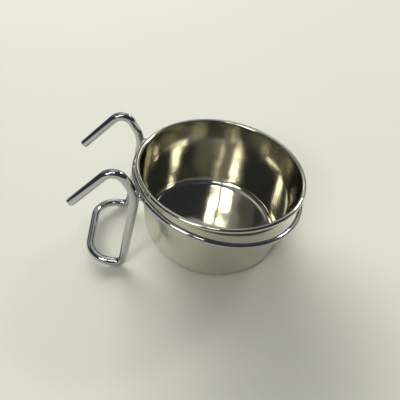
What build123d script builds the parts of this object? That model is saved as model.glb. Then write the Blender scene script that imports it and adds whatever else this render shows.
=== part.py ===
import os
from math import asin, atan2, cos, degrees, hypot, radians, sin, sqrt

from build123d import *

# A drawn steel seed cup with a rolled rim, hung in a hoop of wire that is welded to a bent wire hanger.
# The frame is that of the table the cup is put down on: +Z up from the table, hooks towards -X,
# mirror symmetric in Y, origin below the middle of the whole.

# Cup, millimetres
rim_diameter = 100.0
cup_height = 48.0
base_diameter = 84.6
sheet = 0.7
rim_bead = 3.0
rim_curl_turn = 262.0
base_round = 5.0

# Hoop of wire under the rim
ring_wire = 3.2
ring_lap = 1.1
ring_butt_gap = 0.8
seat_clearance = 0.3
seat_angle = 60.0

# Hanger, one length of wire bent hook, leg, loop, leg, hook
hanger_wire_diameter = 5.0
leg_spacing = 51.6
shank_height = 1.9
shank_lean = 36.5
shank_length = 21.5
shank_bend = 22.0
hook_bend = 6.6
arm_angle = 145.0
arm_length = 36.4
foot_bend = 5.0
loop_depth = 20.9
loop_droop = 2.2
loop_bend = 14.5
tip_round = 0.5

# Welds between hoop and legs
weld_gap = 0.15
weld_radius = 2.6

# How the cup stands on the table: tipped onto its base edge, with the hoop hanging lower at the front
cup_tilt = 8.4
ring_lean = 6.5

rim_radius = rim_diameter / 2
bead_radius = rim_bead / 2
ring_wire_radius = ring_wire / 2
wire_radius = hanger_wire_diameter / 2
tilt = radians(cup_tilt)
lean = radians(ring_lean)
hang = tilt + lean

# Middle line of the cup's sheet: flat floor, rounded corner, tapered wall, rolled rim.
# The wall is the line that touches the corner arc on one side and the curl on the other.
floor_radius = base_diameter / 2 - base_round
corner_radius = base_round - sheet / 2
curl_radius = bead_radius - sheet / 2
curl_offset = rim_radius - bead_radius - floor_radius
curl_rise = cup_height - bead_radius - base_round
curl_distance = hypot(curl_offset, curl_rise)
wall_slope = atan2(curl_rise, curl_offset) + asin((corner_radius + curl_radius) / curl_distance)
wall_length = sqrt(curl_distance**2 - (corner_radius + curl_radius) ** 2)

# The hoop catches the rolled rim from below on the hook side and leans away from it
ring_radius = rim_radius - ring_lap + ring_wire_radius
seat_reach = bead_radius + ring_wire_radius + seat_clearance
seat_out = rim_radius - bead_radius + seat_reach * cos(radians(seat_angle))
seat_height = cup_height - bead_radius - seat_reach * sin(radians(seat_angle))
ring_centre_out = seat_out - ring_radius * cos(lean)
ring_centre_height = seat_height - ring_radius * sin(lean)

# Heights above the table, and places along the table from the middle of the cup's base
base_height = floor_radius * sin(tilt) + base_round * (1 - cos(tilt))
ring_place = ring_centre_height * sin(tilt) - ring_centre_out * cos(tilt)
ring_height = base_height + ring_centre_height * cos(tilt) + ring_centre_out * sin(tilt)

# Hanger seen from the side, in the hoop's own frame: out towards the hooks and up from the hoop
half_spacing = leg_spacing / 2
leg_reach = ring_radius + ring_wire_radius + weld_gap + wire_radius
leg_out = sqrt(leg_reach**2 - half_spacing**2)
apex_out = leg_out + shank_length * sin(radians(shank_lean))
apex_up = shank_height + shank_length * cos(radians(shank_lean))
tip_out = apex_out + arm_length * sin(radians(arm_angle))
tip_up = apex_up + arm_length * cos(radians(arm_angle))

# The legs are as long as it takes for their lower bends to touch the table
droop = radians(loop_droop)
bend_centre_up = (foot_bend + wire_radius - ring_height - (leg_out + foot_bend) * sin(hang)) / cos(hang)
foot_up = bend_centre_up - foot_bend * (1 - sin(droop)) / cos(droop)
loop_out = leg_out + loop_depth * cos(droop)
loop_up = foot_up - loop_depth * sin(droop)

# The origin is halfway between the rim's front and whatever reaches furthest back
front = (rim_radius - bead_radius) * cos(tilt) + (cup_height - bead_radius) * sin(tilt) + bead_radius
tip_turn = radians(arm_angle) - hang
tip_back = ring_place - tip_out * cos(hang) + tip_up * sin(hang) - wire_radius * abs(cos(tip_turn))
loop_back = ring_place - loop_out * cos(hang) + loop_up * sin(hang) - wire_radius
middle = (front + min(tip_back, loop_back)) / 2

cup_section = Plane(
    origin=(-middle, 0, base_height),
    x_dir=(cos(tilt), 0, -sin(tilt)),
    z_dir=(0, -1, 0),
)
hanger_plane = Plane(
    origin=(ring_place - middle, 0, ring_height),
    x_dir=(-cos(hang), 0, sin(hang)),
    z_dir=(sin(hang), 0, cos(hang)),
)

os.makedirs("parts", exist_ok=True)

with BuildPart() as cup:
    with BuildSketch(cup_section):
        with BuildLine():
            cup_floor = Line((0, sheet / 2), (floor_radius, sheet / 2))
            corner = JernArc(cup_floor @ 1, cup_floor % 1, corner_radius, degrees(wall_slope))
            wall = PolarLine(corner @ 1, wall_length, degrees(wall_slope))
            JernArc(wall @ 1, wall % 1, curl_radius, -rim_curl_turn)
        trace(line_width=sheet)
    revolve(axis=Axis(cup_section.origin, cup_section.y_dir))
cup.part.label = "cup"
export_step(cup.part, "parts/cup.step")

with BuildPart() as support_ring:
    with BuildLine(hanger_plane):
        butt_angle = degrees(ring_butt_gap / ring_radius)
        hoop = CenterArc((0, 0), ring_radius, butt_angle / 2, 360 - butt_angle)
    with BuildSketch(Plane(origin=hoop @ 0, z_dir=hoop % 0)):
        Circle(ring_wire_radius)
    sweep()
support_ring.part.label = "support_ring"
export_step(support_ring.part, "parts/support_ring.step")

with BuildPart() as hanger_wire:
    with BuildLine(hanger_plane):
        bent_wire = FilletPolyline(
            (tip_out, -half_spacing, tip_up),
            (apex_out, -half_spacing, apex_up),
            (leg_out, -half_spacing, shank_height),
            (leg_out, -half_spacing, foot_up),
            (loop_out, -half_spacing, loop_up),
            (loop_out, half_spacing, loop_up),
            (leg_out, half_spacing, foot_up),
            (leg_out, half_spacing, shank_height),
            (apex_out, half_spacing, apex_up),
            (tip_out, half_spacing, tip_up),
            radius=[hook_bend, shank_bend, foot_bend, loop_bend, loop_bend, foot_bend, shank_bend, hook_bend],
        )
    with BuildSketch(Plane(origin=bent_wire @ 0, z_dir=bent_wire % 0)):
        Circle(wire_radius)
    sweep()
    fillet(hanger_wire.faces().filter_by(GeomType.PLANE).edges(), tip_round)
hanger_wire.part.label = "hanger_wire"
export_step(hanger_wire.part, "parts/hanger_wire.step")

# Each weld fills the crevice where a leg crosses the hoop
weld_reach = ring_radius + ring_wire_radius + weld_gap / 2
weld_out = weld_reach * leg_out / leg_reach
weld_across = weld_reach * half_spacing / leg_reach

with BuildPart() as weld_left:
    with Locations(hanger_plane.from_local_coords((weld_out, weld_across, 0))):
        Sphere(weld_radius)
    add(support_ring.part, mode=Mode.SUBTRACT)
    add(hanger_wire.part, mode=Mode.SUBTRACT)
weld_left.part.label = "weld_left"
export_step(weld_left.part, "parts/weld_left.step")

with BuildPart() as weld_right:
    mirror(weld_left.part, about=Plane.XZ)
weld_right.part.label = "weld_right"
export_step(weld_right.part, "parts/weld_right.step")
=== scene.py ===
import bpy
from math import asin, atan2, cos, hypot, pi, radians, sin, sqrt, tan
from mathutils import Matrix, Vector


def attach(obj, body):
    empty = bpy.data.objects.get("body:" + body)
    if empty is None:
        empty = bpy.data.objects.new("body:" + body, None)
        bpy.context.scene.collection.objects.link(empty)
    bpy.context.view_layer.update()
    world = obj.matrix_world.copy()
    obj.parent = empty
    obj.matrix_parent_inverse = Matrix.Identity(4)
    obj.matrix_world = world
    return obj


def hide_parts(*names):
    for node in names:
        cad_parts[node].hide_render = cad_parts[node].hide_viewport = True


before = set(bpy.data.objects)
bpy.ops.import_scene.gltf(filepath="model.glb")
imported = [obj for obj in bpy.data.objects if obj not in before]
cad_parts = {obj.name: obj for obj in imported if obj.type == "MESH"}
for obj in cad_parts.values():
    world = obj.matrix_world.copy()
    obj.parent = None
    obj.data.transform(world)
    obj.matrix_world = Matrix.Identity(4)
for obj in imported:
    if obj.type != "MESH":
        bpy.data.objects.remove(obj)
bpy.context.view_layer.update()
mm = 0.001
mergeDistance = 1e-6  # metres, for doubled points
print("frame loaded, nodes:", sorted(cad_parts))


def clearSelection():
    if bpy.context.mode != "OBJECT":
        bpy.ops.object.mode_set(mode="OBJECT")
    bpy.ops.object.select_all(action="DESELECT")


def hexColour(code):  # sRGB hex to linear
    parts = [int(code[k:k + 2], 16) / 255 for k in (1, 3, 5)]
    linear = [c / 12.92 if c <= 0.04045 else ((c + 0.055) / 1.055) ** 2.4 for c in parts]
    return (*linear, 1.0)


def addNode(tree, kind, settings=None, inputs=None, links=None):
    node = tree.nodes.new(kind)
    for name, value in (settings or {}).items():
        setattr(node, name, value)
    for name, value in (inputs or {}).items():
        node.inputs[name].default_value = value
    for name, source in (links or {}).items():
        tree.links.new(source, node.inputs[name])
    return node


def newMaterial(name):
    material = bpy.data.materials.new(name)
    material.use_nodes = True
    material.node_tree.nodes.clear()
    return material, material.node_tree


def closeMaterial(tree, shader):
    addNode(tree, "ShaderNodeOutputMaterial", links={"Surface": shader.outputs[0]})


def patternScale(size):  # noise scale for features of this many millimetres
    return 1 / (size * mm)


def applyModifiers(piece):
    for modifier in list(piece.modifiers):
        bpy.ops.object.modifier_apply(modifier=modifier.name)


def mergeAndTurnOut():  # in edit mode: join doubled points, then point all faces outwards
    bpy.ops.mesh.select_all(action="SELECT")
    bpy.ops.mesh.remove_doubles(threshold=mergeDistance)
    bpy.ops.mesh.normals_make_consistent(inside=False)
    bpy.ops.object.mode_set(mode="OBJECT")


def applyPlace():  # puts the object's place, turn and size into its mesh
    bpy.ops.object.transform_apply(location=True, rotation=True, scale=True)


def settle(piece, place, tilt):  # tips the piece about Y and moves it to its place
    piece.rotation_euler = (0, radians(tilt), 0)
    piece.location = [v * mm for v in place]
    applyPlace()


# eye in millimetres, and the directions of the picture's right and of the view, in the table frame
camera = {
    "eye": (2.59, -208.73, 227.15),
    "right": (0.9994, -0.0288, -0.0194),
    "forward": (0.0074, 0.7225, -0.6913),
    "focalPixels": 469.15,
    "imagePixels": 400,
    "sensor": 36.0,
    "nearest": 10.0,
}


def placeCamera():
    lens = bpy.data.cameras.new("photoCamera")
    lens.sensor_width = camera["sensor"]
    lens.lens = camera["focalPixels"] / camera["imagePixels"] * camera["sensor"]
    lens.clip_start = camera["nearest"] * mm
    viewer = bpy.data.objects.new("photoCamera", lens)
    bpy.context.scene.collection.objects.link(viewer)
    forward = Vector(camera["forward"]).normalized()
    right = Vector(camera["right"])
    right = (right - forward * right.dot(forward)).normalized()
    turn = Matrix((right, right.cross(forward), -forward)).transposed().to_4x4()
    viewer.matrix_world = Matrix.Translation([v * mm for v in camera["eye"]]) @ turn
    bpy.context.scene.camera = viewer
    print("camera placed, lens", round(lens.lens, 2))


placeCamera()

# cup: sheet drawn to a tapered pan, rim rolled outwards; millimetres and degrees
cup = {
    "rimDiameter": 100.0,
    "height": 48.0,
    "baseDiameter": 84.6,
    "sheet": 0.7,
    "rimBead": 3.0,
    "curlTurn": 262.0,
    "baseRound": 5.0,
    "place": (11.046, 0, 5.5025),
    "tilt": 8.4,
    "sides": 128,
    "floorLoops": (0.25, 0.5, 0.75, 0.92, 0.98),  # shares of the floor's radius
    "cornerSteps": 12,
    "wallLoops": (0.02, 0.1, 0.3, 0.5, 0.7, 0.9, 0.98),  # shares of the wall's length
    "curlSteps": 24,
    "colour": "#CFCCBD",
    "polishRing": 0.9,
    "ringShare": 0.35,
    "smear": 14.0,
    "smearRange": (0.35, 0.65),
    "roughness": (0.1, 0.145),
    "floorRoughness": 0.75,  # as a share of the wall's
    "floorFade": (2.0, 7.0),  # heights from the floor's polish to the wall's
    "wave": 16.0,
    "waveHeight": 0.25,
}


# stainless steel sheet, polished on a spinning wheel: a mirror, a little blurred, with fine rings
# round the axis and soft smears in its gloss, and slow shallow waves that bend each reflection;
# rings drawn coarser than the real ones so that they show
def makeCupSteel():
    material, tree = newMaterial("polishedStainlessSteel")
    place = addNode(tree, "ShaderNodeTexCoord")
    axis = addNode(tree, "ShaderNodeMapping", settings={"vector_type": "TEXTURE"},
                   inputs={"Location": [v * mm for v in cup["place"]],
                           "Rotation": (0, radians(cup["tilt"]), 0)},
                   links={"Vector": place.outputs["Object"]})
    split = addNode(tree, "ShaderNodeSeparateXYZ", links={"Vector": axis.outputs["Vector"]})
    flat = addNode(tree, "ShaderNodeCombineXYZ",
                   links={"X": split.outputs["X"], "Y": split.outputs["Y"]})
    radius = addNode(tree, "ShaderNodeVectorMath", settings={"operation": "LENGTH"},
                     links={"Vector": flat.outputs["Vector"]})
    ring = addNode(tree, "ShaderNodeCombineXYZ",
                   links={"X": radius.outputs["Value"], "Y": split.outputs["Z"]})
    lines = addNode(tree, "ShaderNodeTexNoise", settings={"noise_dimensions": "2D"},
                    inputs={"Scale": patternScale(cup["polishRing"]),
                            "Detail": 2.0, "Roughness": 0.6},
                    links={"Vector": ring.outputs["Vector"]})
    smear = addNode(tree, "ShaderNodeTexNoise",
                    inputs={"Scale": patternScale(cup["smear"]), "Detail": 3.0, "Roughness": 0.6},
                    links={"Vector": axis.outputs["Vector"]})
    worn = addNode(tree, "ShaderNodeMix", inputs={"Factor": cup["ringShare"]},
                   links={"A": smear.outputs["Fac"], "B": lines.outputs["Fac"]})
    blur = addNode(tree, "ShaderNodeMapRange",
                   inputs={"From Min": cup["smearRange"][0], "From Max": cup["smearRange"][1],
                           "To Min": cup["roughness"][0], "To Max": cup["roughness"][1]},
                   links={"Value": worn.outputs["Result"]})
    wheel = addNode(tree, "ShaderNodeMapRange",
                    inputs={"From Min": cup["floorFade"][0] * mm,
                            "From Max": cup["floorFade"][1] * mm,
                            "To Min": cup["floorRoughness"], "To Max": 1.0},
                    links={"Value": split.outputs["Z"]})
    rough = addNode(tree, "ShaderNodeMath", settings={"operation": "MULTIPLY"},
                    links={0: blur.outputs["Result"], 1: wheel.outputs["Result"]})
    wave = addNode(tree, "ShaderNodeTexNoise",
                   inputs={"Scale": patternScale(cup["wave"]), "Detail": 0.0},
                   links={"Vector": axis.outputs["Vector"]})
    bump = addNode(tree, "ShaderNodeBump",
                   inputs={"Strength": 1.0, "Distance": cup["waveHeight"] * mm},
                   links={"Height": wave.outputs["Fac"]})
    shader = addNode(tree, "ShaderNodeBsdfPrincipled",
                     inputs={"Base Color": hexColour(cup["colour"]), "Metallic": 1.0},
                     links={"Roughness": rough.outputs["Value"],
                            "Normal": bump.outputs["Normal"]})
    closeMaterial(tree, shader)
    return material


def cupProfile():  # middle line of the sheet as radius, height pairs from the floor outwards
    half = cup["sheet"] / 2
    baseRound = cup["baseRound"]
    beadRadius = cup["rimBead"] / 2
    floorRadius = cup["baseDiameter"] / 2 - baseRound
    cornerRadius = baseRound - half
    curlRadius = beadRadius - half
    curlOut, curlUp = cup["rimDiameter"] / 2 - beadRadius, cup["height"] - beadRadius
    across, rise = curlOut - floorRadius, curlUp - baseRound
    slope = atan2(rise, across) + asin((cornerRadius + curlRadius) / hypot(across, rise))
    points = [(floorRadius * share, half) for share in cup["floorLoops"]]
    for k in range(cup["cornerSteps"] + 1):
        angle = slope * k / cup["cornerSteps"]
        points.append((floorRadius + cornerRadius * sin(angle),
                       baseRound - cornerRadius * cos(angle)))
    footOut, footUp = points[-1]
    headOut, headUp = curlOut - curlRadius * sin(slope), curlUp + curlRadius * cos(slope)
    for share in cup["wallLoops"]:
        points.append((footOut + (headOut - footOut) * share,
                       footUp + (headUp - footUp) * share))
    for k in range(cup["curlSteps"] + 1):
        angle = slope + pi / 2 - radians(cup["curlTurn"]) * k / cup["curlSteps"]
        points.append((curlOut + curlRadius * cos(angle), curlUp + curlRadius * sin(angle)))
    return points


def buildCup():
    clearSelection()
    profile = cupProfile()
    radius, height = profile[0]
    bpy.ops.mesh.primitive_circle_add(vertices=cup["sides"], radius=radius * mm,
                                      fill_type="TRIFAN", location=(0, 0, height * mm))
    piece = bpy.context.object
    piece.name = "seedCup"
    applyPlace()
    bpy.ops.object.mode_set(mode="EDIT")
    bpy.ops.mesh.select_mode(type="EDGE")
    bpy.ops.mesh.select_all(action="SELECT")
    bpy.ops.mesh.region_to_loop()
    for nextRadius, nextHeight in profile[1:]:
        widen = nextRadius / radius
        bpy.ops.mesh.extrude_edges_move()
        bpy.ops.transform.resize(value=(widen, widen, 1), center_override=(0, 0, 0))
        bpy.ops.transform.translate(value=(0, 0, (nextHeight - height) * mm))
        radius, height = nextRadius, nextHeight
    mergeAndTurnOut()
    wall = piece.modifiers.new("sheet", "SOLIDIFY")
    wall.thickness = cup["sheet"] * mm
    wall.offset = 0
    smooth = piece.modifiers.new("round", "SUBSURF")
    smooth.levels = smooth.render_levels = 1
    applyModifiers(piece)
    bpy.ops.object.shade_smooth()
    settle(piece, cup["place"], cup["tilt"])
    piece.data.materials.append(makeCupSteel())
    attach(piece, "cup")
    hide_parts("cup")
    print("cup made,", len(piece.data.polygons), "faces")


buildCup()

# what the hoop and the hanger share: finish, and how their cut ends are rounded
wire = {
    "colour": "#BEC0BF",
    "ripple": 6.0,
    "rippleRange": (0.35, 0.65),
    "roughness": (0.05, 0.11),
    "rippleHeight": 0.4,
    "rippleStrength": 0.03,
    "endSegments": 4,
    "endAngle": 60.0,
    "creaseAngle": 50.0,
}


# bright chrome plate over drawn steel wire: close to a mirror, with the faint waviness of the
# drawn wire below
def makeWireChrome():
    material, tree = newMaterial("brightChromePlate")
    place = addNode(tree, "ShaderNodeTexCoord")
    ripple = addNode(tree, "ShaderNodeTexNoise",
                     inputs={"Scale": patternScale(wire["ripple"]),
                             "Detail": 2.0, "Roughness": 0.5},
                     links={"Vector": place.outputs["Object"]})
    rough = addNode(tree, "ShaderNodeMapRange",
                    inputs={"From Min": wire["rippleRange"][0], "From Max": wire["rippleRange"][1],
                            "To Min": wire["roughness"][0], "To Max": wire["roughness"][1]},
                    links={"Value": ripple.outputs["Fac"]})
    bump = addNode(tree, "ShaderNodeBump",
                   inputs={"Strength": wire["rippleStrength"],
                           "Distance": wire["rippleHeight"] * mm},
                   links={"Height": ripple.outputs["Fac"]})
    shader = addNode(tree, "ShaderNodeBsdfPrincipled",
                     inputs={"Base Color": hexColour(wire["colour"]), "Metallic": 1.0},
                     links={"Roughness": rough.outputs["Result"],
                            "Normal": bump.outputs["Normal"]})
    closeMaterial(tree, shader)
    return material


wireChrome = makeWireChrome()

# hoop under the rim; its middle is the origin of the hanger's own frame, with the hooks towards -X
hoop = {
    "radius": 50.5,
    "wire": 3.2,
    "buttGap": 0.8,
    "endRound": 0.3,
    "place": (16.549, 0, 42.939),
    "tilt": 14.9,
    "sides": 24,
    "steps": 160,
}


def startWire(name, start, direction, radius, sides):
    clearSelection()
    aim = Vector(direction).to_track_quat("Z", "Y").to_euler()
    bpy.ops.mesh.primitive_circle_add(vertices=sides, radius=radius, fill_type="NGON",
                                      location=start, rotation=aim)
    piece = bpy.context.object
    piece.name = name
    applyPlace()
    bpy.ops.object.mode_set(mode="EDIT")
    bpy.ops.mesh.select_mode(type="FACE")
    bpy.ops.mesh.select_all(action="SELECT")
    return piece


def runWire(move):  # straight run
    bpy.ops.mesh.extrude_region_move(TRANSFORM_OT_translate={"value": move})


def bendWire(centre, axis, angle, steps):  # spin turns the other way with no window
    bpy.ops.mesh.spin(steps=steps, angle=-angle, center=centre, axis=axis)


def roundEnds(piece, size):  # only the rims of the cut ends are sharp enough
    rounding = piece.modifiers.new("cutEnds", "BEVEL")
    rounding.width = size * mm
    rounding.segments = wire["endSegments"]
    rounding.limit_method = "ANGLE"
    rounding.angle_limit = radians(wire["endAngle"])


def finishWire(piece, node):
    applyModifiers(piece)
    bpy.ops.object.shade_smooth_by_angle(angle=radians(wire["creaseAngle"]))
    settle(piece, hoop["place"], hoop["tilt"])
    piece.data.materials.append(wireChrome)
    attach(piece, "hanger")
    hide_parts(node)
    print(piece.name, "made,", len(piece.data.polygons), "faces")


def buildHoop():
    openAngle = hoop["buttGap"] / hoop["radius"]
    first = pi + openAngle / 2
    start = Vector((cos(first), sin(first), 0)) * hoop["radius"] * mm
    along = (-sin(first), cos(first), 0)
    piece = startWire("supportHoop", start, along, hoop["wire"] / 2 * mm, hoop["sides"])
    bendWire((0, 0, 0), (0, 0, 1), 2 * pi - openAngle, hoop["steps"])
    mergeAndTurnOut()
    roundEnds(piece, hoop["endRound"])
    finishWire(piece, "support_ring")


buildHoop()

# hanger: one wire bent hook, leg, loop, leg, hook; angles from straight up, in degrees
hanger = {
    "wire": 5.0,
    "spacing": 51.6,
    "weldGap": 0.15,
    "shankHeight": 1.9,
    "shankLean": 36.5,
    "shankLength": 21.5,
    "armAngle": 145.0,
    "armLength": 36.4,
    "footDepth": 55.663,
    "loopDepth": 20.9,
    "loopDroop": 2.2,  # below level
    "bends": (6.6, 22.0, 5.0, 14.5),  # hook, knee, foot and loop
    "bendSteps": (20, 14, 14, 18),
    "tipRound": 0.5,
    "sides": 28,
    "twinMerge": 0.01,
}


def legReach():  # from the hoop's middle to the middle of a leg
    return hoop["radius"] + hoop["wire"] / 2 + hanger["weldGap"] + hanger["wire"] / 2


def hangerCorners():  # where one half's straight runs would meet, from hook tip to loop middle
    side = hanger["spacing"] / 2
    legOut = sqrt(legReach() ** 2 - side ** 2)
    lean, arm, droop = [radians(hanger[k]) for k in ("shankLean", "armAngle", "loopDroop")]
    knee = Vector((-legOut, -side, hanger["shankHeight"]))
    apex = knee + Vector((-sin(lean), 0, cos(lean))) * hanger["shankLength"]
    tip = apex + Vector((-sin(arm), 0, cos(arm))) * hanger["armLength"]
    foot = Vector((-legOut, -side, -hanger["footDepth"]))
    loop = foot + Vector((-cos(droop), 0, -sin(droop))) * hanger["loopDepth"]
    middle = loop + Vector((0, side, 0))
    return [corner * mm for corner in (tip, apex, knee, foot, loop, middle)]


def buildHanger():
    corners = hangerCorners()
    position = corners[0]
    piece = startWire("hangerWire", position, corners[1] - position,
                      hanger["wire"] / 2 * mm, hanger["sides"])
    for k, (bend, steps) in enumerate(zip(hanger["bends"], hanger["bendSteps"])):
        corner = corners[k + 1]
        inward = (corner - corners[k]).normalized()
        outward = (corners[k + 2] - corner).normalized()
        angle = inward.angle(outward)
        reach = bend * mm * tan(angle / 2)
        begin = corner - inward * reach
        axis = inward.cross(outward).normalized()
        centre = begin + axis.cross(inward) * bend * mm
        runWire(begin - position)
        bendWire(centre, axis, angle, steps)
        position = corner + outward * reach
    runWire(corners[-1] - position)
    bpy.ops.mesh.delete(type="ONLY_FACE")  # open at the loop's middle, where the other half joins
    mergeAndTurnOut()
    twin = piece.modifiers.new("twin", "MIRROR")
    twin.use_axis = (False, True, False)
    twin.use_clip = True
    twin.merge_threshold = hanger["twinMerge"] * mm
    roundEnds(piece, hanger["tipRound"])
    finishWire(piece, "hanger_wire")


buildHanger()

# welds in the crevices where the legs cross the hoop
weld = {
    "size": (1.9, 2.3, 2.5),
    "segments": 24,
    "rings": 14,
    "uneven": 0.12,
    "seeds": (3, 8),
    "smoothing": 0.5,
    "smoothPasses": 3,
    "colour": "#C4C5C3",
    "pit": 1.1,
    "pitRange": (0.3, 0.7),
    "roughness": (0.16, 0.34),
    "pitDepth": 0.3,
    "pitStrength": 0.5,
}


# weld metal under the same plate: duller than the wire, with small pits
def makeWeldMetal():
    material, tree = newMaterial("platedWeldMetal")
    place = addNode(tree, "ShaderNodeTexCoord")
    pits = addNode(tree, "ShaderNodeTexNoise",
                   inputs={"Scale": patternScale(weld["pit"]), "Detail": 3.0, "Roughness": 0.6},
                   links={"Vector": place.outputs["Object"]})
    rough = addNode(tree, "ShaderNodeMapRange",
                    inputs={"From Min": weld["pitRange"][0], "From Max": weld["pitRange"][1],
                            "To Min": weld["roughness"][0], "To Max": weld["roughness"][1]},
                    links={"Value": pits.outputs["Fac"]})
    bump = addNode(tree, "ShaderNodeBump",
                   inputs={"Strength": weld["pitStrength"], "Distance": weld["pitDepth"] * mm},
                   links={"Height": pits.outputs["Fac"]})
    shader = addNode(tree, "ShaderNodeBsdfPrincipled",
                     inputs={"Base Color": hexColour(weld["colour"]), "Metallic": 1.0},
                     links={"Roughness": rough.outputs["Result"],
                            "Normal": bump.outputs["Normal"]})
    closeMaterial(tree, shader)
    return material


weldMetal = makeWeldMetal()


def buildWeld(name, node, side, seed):
    clearSelection()
    reach = hoop["radius"] + hoop["wire"] / 2 + hanger["weldGap"] / 2
    turn = asin(hanger["spacing"] / 2 / legReach())
    bpy.ops.mesh.primitive_uv_sphere_add(segments=weld["segments"], ring_count=weld["rings"],
                                         radius=mm)
    piece = bpy.context.object
    piece.name = name
    bpy.ops.object.mode_set(mode="EDIT")
    bpy.ops.mesh.select_all(action="SELECT")
    bpy.ops.transform.resize(value=weld["size"])
    bpy.ops.transform.vertex_random(offset=weld["uneven"] * mm, normal=1.0, seed=seed)
    bpy.ops.mesh.vertices_smooth(factor=weld["smoothing"], repeat=weld["smoothPasses"])
    bpy.ops.object.mode_set(mode="OBJECT")
    piece.location = (-reach * cos(turn) * mm, side * reach * sin(turn) * mm, 0)
    piece.rotation_euler = (0, 0, -side * turn)
    applyPlace()
    bpy.ops.object.shade_smooth()
    settle(piece, hoop["place"], hoop["tilt"])
    piece.data.materials.append(weldMetal)
    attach(piece, "hanger")
    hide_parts(node)
    print(name, "made,", len(piece.data.polygons), "faces")


buildWeld("weldNear", "weld_left", -1, weld["seeds"][0])
buildWeld("weldFar", "weld_right", 1, weld["seeds"][1])

# table top: metres across, the rest in millimetres
table = {
    "size": 6.0,
    "drop": 0.1,  # keeps it just clear of the base's edge
    "colour": "#D2D2C8",
    "mottle": 60.0,
    "roughness": (0.5, 0.6),
}


# pale laminate table top: satin, with a faint mottle in its sheen
def makeLaminate():
    material, tree = newMaterial("paleLaminate")
    place = addNode(tree, "ShaderNodeTexCoord")
    mottle = addNode(tree, "ShaderNodeTexNoise",
                     inputs={"Scale": patternScale(table["mottle"]),
                             "Detail": 2.0, "Roughness": 0.5},
                     links={"Vector": place.outputs["Object"]})
    rough = addNode(tree, "ShaderNodeMapRange",
                    inputs={"To Min": table["roughness"][0], "To Max": table["roughness"][1]},
                    links={"Value": mottle.outputs["Fac"]})
    shader = addNode(tree, "ShaderNodeBsdfPrincipled",
                     inputs={"Base Color": hexColour(table["colour"])},
                     links={"Roughness": rough.outputs["Result"]})
    closeMaterial(tree, shader)
    return material


def buildTable():
    clearSelection()
    bpy.ops.mesh.primitive_plane_add(size=table["size"], location=(0, 0, -table["drop"] * mm))
    top = bpy.context.object
    top.name = "tableTop"
    top.data.materials.append(makeLaminate())
    print("table made")


buildTable()

# soft panels round the cup: azimuth from +X and elevation in degrees, distance in metres, width
# and height in degrees as seen from the cup, brightness where seen, tint, and whether the metal
# mirrors it or it only lights the table
lamps = {
    "key": (109, 21, 2.4, (60, 26), 3.0, "#FFFEFA", False),
    "front": (-105, 45, 1.6, (26, 24), 0.22, "#FFFEFA", False),
    "overhead": (75, 64, 1.4, (36, 24), 0.7, "#FFFEFA", True),
    "ceiling": (180, 84, 1.4, (56, 30), 0.34, "#EAF3F4", True),
    "stripFar": (-110.5, 60.5, 1.5, (12, 4.5), 16.0, "#FFFDF6", True),
    "stripNear": (-82, 59.5, 1.5, (10, 4), 14.0, "#FFFDF6", True),
    "rightBehind": (-157, 60, 1.5, (34, 22), 0.09, "#FFF6E2", True),
    "behind": (-123, 38.5, 1.5, (18, 13), 9.0, "#FFFDF6", True),
    "rightBack": (37, 33.5, 1.3, (11, 2.5), 64.0, "#FFFDF6", True),
    "farBack": (86, 37, 1.3, (6, 5), 5.0, "#FFFDF6", True),
    "paleBack": (70, 34, 1.2, (86, 26), 0.45, "#FFFCF2", True),
    "dimBack": (140, 36, 1.2, (44, 26), 0.28, "#FFFCF2", True),
}
room = {
    "colour": "#3C414B",
    "aim": (15, 0, 45),  # what the panels face, in millimetres
    "tableBeam": 80.0,  # degrees, keeps a panel that only lights the table off its far side
}


def addPanel(name):
    azimuth, elevation, distance, spread, brightness, tint, mirrored = lamps[name]
    azimuth, elevation = radians(azimuth), radians(elevation)
    panel = bpy.data.lights.new(name, "AREA")
    panel.shape = "RECTANGLE"
    panel.size, panel.size_y = [2 * distance * tan(radians(angle) / 2) for angle in spread]
    panel.energy = brightness * pi * panel.size * panel.size_y
    panel.color = hexColour(tint)[:3]
    lamp = bpy.data.objects.new(name, panel)
    bpy.context.scene.collection.objects.link(lamp)
    level = cos(elevation)
    away = Vector((level * cos(azimuth), level * sin(azimuth), sin(elevation)))
    lamp.location = Vector(room["aim"]) * mm + away * distance
    lamp.rotation_euler = away.to_track_quat("Z", "Y").to_euler()
    lamp.visible_camera = False
    lamp.visible_glossy = mirrored
    if not mirrored:
        panel.spread = radians(room["tableBeam"])


def lightRoom():
    for name in lamps:
        addPanel(name)
    dim = bpy.data.worlds.new("dimRoom")
    bpy.context.scene.world = dim
    dim.use_nodes = True
    background = dim.node_tree.nodes["Background"]
    background.inputs["Color"].default_value = hexColour(room["colour"])
    bpy.context.scene.view_settings.view_transform = "Standard"
    print("light made,", len(lamps), "panels")


lightRoom()
